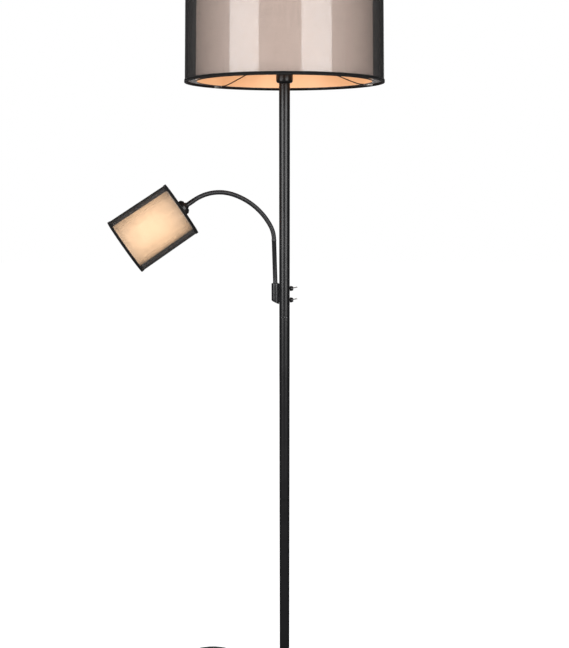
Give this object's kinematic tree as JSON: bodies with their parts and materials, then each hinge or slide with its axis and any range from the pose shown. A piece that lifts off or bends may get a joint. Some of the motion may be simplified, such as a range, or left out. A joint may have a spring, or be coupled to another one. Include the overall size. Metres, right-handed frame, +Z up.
{
  "type": "floor lamp",
  "caption": "Floor lamp with a large double drum shade on a slim pole and a small matching reading lamp on a flexible side neck.",
  "frame": {"origin": "on the floor under the pole's axis, on the base pad's underside", "axes": "+Z up the pole, -X towards the reading arm, +X towards the switches, +Y to the side the cord leaves by"},
  "size_m": [0.6268, 0.4518, 1.72],
  "materials": {
    "black_metal": "satin",
    "neck": "satin",
    "steel": "satin",
    "nickel": "polished",
    "brass": "satin",
    "weight": "rough",
    "pad": "matte",
    "black_plastic": "satin",
    "phenolic": "satin",
    "cord": "satin",
    "trim": "matte",
    "organza": "sheer",
    "shade_lining": "matte",
    "white_wire": "satin",
    "bulb_glass": "frosted"
  },
  "bodies": {
    "stand": {"base_pad": "pad", "base_weight": "weight", "base_cover": "black_metal", "base_nut": "steel", "foot_nipple": "steel", "foot_collar": "black_metal", "foot_insert": "steel", "pole_lower": "black_metal", "pole_middle": "black_metal", "pole_upper": "black_metal", "coupler_lower": "steel", "coupler_upper": "steel", "pole_top_plug": "steel", "pole_lead": "cord", "arm_bracket": "black_metal", "arm_tube": "black_metal", "cord_strain_relief": "black_plastic", "mains_cord": "cord", "plug_tail": "cord", "cord_coil": "cord", "plug_body": "black_plastic", "plug_pin_1": "nickel", "plug_pin_2": "nickel", "main_switch_body": "black_plastic", "main_switch_nut": "black_metal", "main_outer_drum": "organza", "main_inner_drum": "shade_lining", "main_lower_trim": "trim", "main_upper_trim": "trim", "main_lower_frame": "white_wire", "main_upper_frame": "white_wire", "main_cup": "black_metal", "main_lampholder": "phenolic", "main_clamp_ring": "phenolic", "main_bulb_cap": "brass", "main_bulb_glass": "bulb_glass", "reading_switch_body": "black_plastic", "reading_switch_nut": "black_metal"},
    "main_switch_lever": {"main_switch_lever": "nickel"},
    "reading_switch_lever": {"reading_switch_lever": "nickel"},
    "neck_1": {"neck_segment_1": "neck"},
    "neck_2": {"neck_segment_2": "neck"},
    "neck_3": {"neck_segment_3": "neck"},
    "neck_4": {"neck_segment_4": "neck"},
    "neck_5": {"neck_segment_5": "neck"},
    "neck_6": {"neck_segment_6": "neck"},
    "neck_7": {"neck_segment_7": "neck"},
    "neck_8": {"neck_segment_8": "neck"},
    "reading_head": {"neck_end_ferrule": "black_metal", "reading_outer_drum": "organza", "reading_inner_drum": "shade_lining", "reading_lower_trim": "trim", "reading_upper_trim": "trim", "reading_lower_frame": "white_wire", "reading_upper_frame": "white_wire", "reading_cup": "black_metal", "reading_lampholder": "phenolic", "reading_clamp_ring": "phenolic", "reading_bulb_cap": "brass", "reading_bulb_glass": "bulb_glass"}
  },
  "joints": [
    {"name": "main_switch", "type": "hinge", "parent": "stand", "child": "main_switch_lever", "pos_m": [0.015, 0, 1.0305], "axis": [0, 1, 0], "range_deg": [0, 24]},
    {"name": "reading_switch", "type": "hinge", "parent": "stand", "child": "reading_switch_lever", "pos_m": [0.015, 0, 1.003], "axis": [0, 1, 0], "range_deg": [0, 24]},
    {"name": "neck_bend", "type": "hinge", "parent": "stand", "child": "neck_1", "pos_m": [-0.02473, 0, 1.14776], "axis": [0.1959, -0.9806, 0], "range_deg": [-10, 13]},
    {"name": "neck_swing", "type": "hinge", "parent": "neck_1", "child": "neck_2", "pos_m": [-0.03198, -0.00145, 1.17675], "axis": [0.8736, 0.1746, 0.4542], "range_deg": [-14, 14]},
    {"name": "neck_bend_2", "type": "hinge", "parent": "neck_2", "child": "neck_3", "pos_m": [-0.04816, -0.00468, 1.20194], "axis": [0.1959, -0.9806, 0], "range_deg": [-10, 13]},
    {"name": "neck_swing_2", "type": "hinge", "parent": "neck_3", "child": "neck_4", "pos_m": [-0.06884, -0.00881, 1.22344], "axis": [0.6295, 0.1258, 0.7668], "range_deg": [-14, 14]},
    {"name": "neck_bend_3", "type": "hinge", "parent": "neck_4", "child": "neck_5", "pos_m": [-0.09323, -0.01369, 1.24042], "axis": [0.1959, -0.9806, 0], "range_deg": [-10, 13]},
    {"name": "neck_swing_3", "type": "hinge", "parent": "neck_5", "child": "neck_6", "pos_m": [-0.12039, -0.01912, 1.25223], "axis": [0.2873, 0.0574, 0.9561], "range_deg": [-14, 14]},
    {"name": "neck_bend_4", "type": "hinge", "parent": "neck_6", "child": "neck_7", "pos_m": [-0.14953, -0.02494, 1.25675], "axis": [0.1959, -0.9806, 0], "range_deg": [-10, 13]},
    {"name": "neck_swing_4", "type": "hinge", "parent": "neck_7", "child": "neck_8", "pos_m": [-0.17871, -0.03077, 1.25249], "axis": [-0.2788, -0.0557, 0.9587], "range_deg": [-14, 14]},
    {"name": "neck_bend_5", "type": "hinge", "parent": "neck_8", "child": "reading_head", "pos_m": [-0.20544, -0.03611, 1.23983], "axis": [0.1959, -0.9806, 0], "range_deg": [-10, 13]}
  ],
  "couplings": [
    {"joint": "neck_bend_2", "follows": "neck_bend", "ratio": 1},
    {"joint": "neck_swing_2", "follows": "neck_swing", "ratio": 1},
    {"joint": "neck_bend_3", "follows": "neck_bend", "ratio": 1},
    {"joint": "neck_swing_3", "follows": "neck_swing", "ratio": 1},
    {"joint": "neck_bend_4", "follows": "neck_bend", "ratio": 1},
    {"joint": "neck_swing_4", "follows": "neck_swing", "ratio": 1},
    {"joint": "neck_bend_5", "follows": "neck_bend", "ratio": 1}
  ]
}
